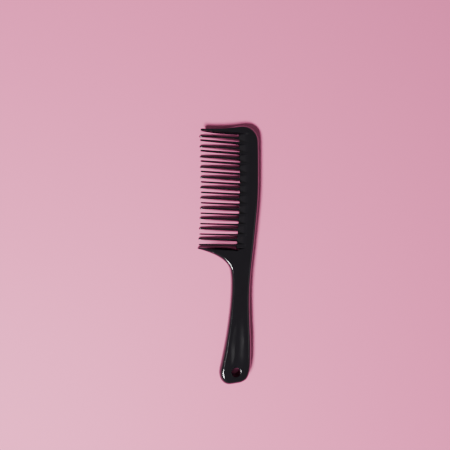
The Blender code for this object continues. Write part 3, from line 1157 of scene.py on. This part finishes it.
def skin(name: str, rings: list[list[Vector]]) -> bpy.types.Mesh:
    """Skin equal rings in order and close both ends.

    Args:
        name: The mesh's name.
        rings: Closed rings of points, in millimetres.

    Returns:
        The smooth-shaded mesh, in metres.
    """
    bm = bmesh.new()
    loops = [[bm.verts.new(point * MM) for point in ring] for ring in rings]
    for first, second in zip(loops, loops[1:]):
        for i in range(len(first)):
            j = (i + 1) % len(first)
            bm.faces.new((first[i], first[j], second[j], second[i]))
    for end in (loops[0], loops[-1]):
        bm.faces.new(end)
    bmesh.ops.recalc_face_normals(bm, faces=bm.faces)
    bm.normal_update()
    normals = []
    for vert in bm.verts:
        # Weighting by area keeps the flats flat and leaves the turn to the rounded corners
        total = sum((face.normal * face.calc_area() for face in vert.link_faces), Vector())
        normals.append(tuple(total.normalized()))
    mesh = bpy.data.meshes.new(name)
    bm.to_mesh(mesh)
    bm.free()
    mesh.shade_smooth()
    mesh.normals_split_custom_set_from_vertices(normals)
    return mesh


@dataclass(frozen=True)
class SoftBox:
    """One lamp with an even rectangular front, aimed at the comb.

    Attributes:
        name: The lamp's name.
        turn: Direction that it stands in, in degrees round the comb from +X.
        height: Degrees above the horizon.
        distance: Metres from the comb.
        size: Its width and height, in metres.
        watts: Its power.
    """

    name: str
    turn: float
    height: float
    distance: float
    size: tuple[float, float]
    watts: float

    def build(self) -> None:
        """Hang the lamp and turn it to the comb."""
        a, e = math.radians(self.turn), math.radians(self.height)
        way = Vector((math.cos(a) * math.cos(e), math.sin(a) * math.cos(e), math.sin(e)))
        lamp = bpy.data.lights.new(self.name, "AREA")
        lamp.shape = "RECTANGLE"
        lamp.size, lamp.size_y = self.size
        lamp.energy = self.watts
        holder = bpy.data.objects.new(self.name, lamp)
        bpy.context.scene.collection.objects.link(holder)
        holder.location = way * self.distance
        holder.rotation_euler = way.to_track_quat("Z", "Y").to_euler()


@dataclass
class Studio:
    """A plain pale floor, one soft key light, a weak fill and a camera above the comb.

    Attributes:
        target: Where the camera looks, in metres.
        distance: Camera to target, in metres.
        tilt: How far the camera stands toward the teeth, in radians.
        lens_mm: Focal length.
        sensor_mm: Width of the sensor.
        key: The key light's place and power.
        fill: The same for the fill.
        room: Strength of the room's light level with the comb and overhead.
        room_tint: Its colour, as sRGB hex.
    """

    target: tuple[float, float, float] = (-0.0027, 0.0254, 0.0062)
    distance: float = 0.46
    tilt: float = math.radians(6.5)
    lens_mm: float = 43.3
    sensor_mm: float = 36.0
    key: SoftBox = SoftBox("key", 224.5, 58.0, 1.3, (0.40, 0.15), 34.5)
    fill: SoftBox = SoftBox("fill", 345.0, 57.0, 1.5, (0.5, 0.5), 0.8)
    room: tuple[float, float] = (0.26, 0.145)
    room_tint: str = "f4eef2"

    def build_floor(self) -> None:
        """Lay the card under the comb."""
        bm = bmesh.new()
        bmesh.ops.create_grid(bm, x_segments=8, y_segments=8, size=1.5)
        mesh = bpy.data.meshes.new("floor_card")
        bm.to_mesh(mesh)
        bm.free()
        mesh.materials.append(CoatedCard().build())
        floor = bpy.data.objects.new("floor_card", mesh)
        bpy.context.scene.collection.objects.link(floor)
        # A hair below the comb, so that the two faces don't fight
        floor.location.z = -0.05 * MM
        floor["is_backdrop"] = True

    def build_lights(self) -> None:
        """Set the key, the fill and the even light of the room."""
        self.key.build()
        self.fill.build()
        world = bpy.data.worlds.new("room_light")
        bpy.context.scene.world = world
        world.use_nodes = True
        tree = world.node_tree
        sky = tree.nodes["Background"]
        way = add_node(tree, "ShaderNodeTexCoord").outputs["Generated"]
        height = add_node(tree, "ShaderNodeSeparateXYZ", Vector=way).outputs["Z"]
        # Walls are brighter than the ceiling, so sides pick up light and flat faces stay dark
        level = add_node(
            tree, "ShaderNodeMapRange", {"interpolation_type": "SMOOTHSTEP"}, Value=height,
            From_Min=0.05, From_Max=0.75, To_Min=self.room[0], To_Max=self.room[1],
        )
        tree.links.new(level.outputs[0], sky.inputs["Strength"])
        sky.inputs["Color"].default_value = srgb(self.room_tint)

    def build_camera(self) -> None:
        """Hang the camera above the comb, leaning toward the teeth, with +Y up in the frame."""
        data = bpy.data.cameras.new("camera")
        data.sensor_width = self.sensor_mm
        data.lens = self.lens_mm
        camera = bpy.data.objects.new("camera", data)
        bpy.context.scene.collection.objects.link(camera)
        away = Vector((-math.sin(self.tilt), 0.0, math.cos(self.tilt)))
        side = Vector((0, 1, 0)).cross(away).normalized()
        turn = Matrix((side, away.cross(side), away)).transposed()
        camera.matrix_world = Matrix.Translation(Vector(self.target) + away * self.distance) @ turn.to_4x4()
        bpy.context.scene.camera = camera

    def build(self) -> None:
        """Set up the whole studio."""
        self.build_floor()
        self.build_lights()
        self.build_camera()


def main() -> None:
    """Build the comb and the studio."""
    logging.basicConfig(level=logging.INFO, format="%(name)s: %(message)s")
    cad_low, cad_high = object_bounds()
    # A hair under the CAD's height, to stay inside its box
    thickness = cad_high.z / MM - 0.01
    part_line = cad_high.z / 2
    nose = NoseLine()
    honed = MouldedPolystyrene(Polish.HONED)
    drawn = MouldedPolystyrene(Polish.DRAWN, gloss=0.14)
    seams = Seams(
        neck_y=(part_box("handle")[1].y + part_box("spine")[0].y) / 2 / MM,
        guard_x=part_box("end_guard")[1].x / MM + 0.15,
    )
    body_nodes = ("spine", "handle", "end_guard", "heel_guard")
    finishes = {node: honed.build(f"honed_black_polystyrene_{node}", part_line) for node in body_nodes}
    part_moulding(MouldedBack(nose, thickness), seams, finishes)
    for row, label in ((Row.FRONT, "front"), (Row.REAR, "rear")):
        material = drawn.build(f"drawn_black_polystyrene_{label}_teeth", part_line)
        for index in range(Tooth.LAST + 1):
            Tooth(f"{label}_tooth_{index + 1:02d}", row, index, nose, thickness).build(material)
    Studio().build()


if __name__ == "__main__":
    main()
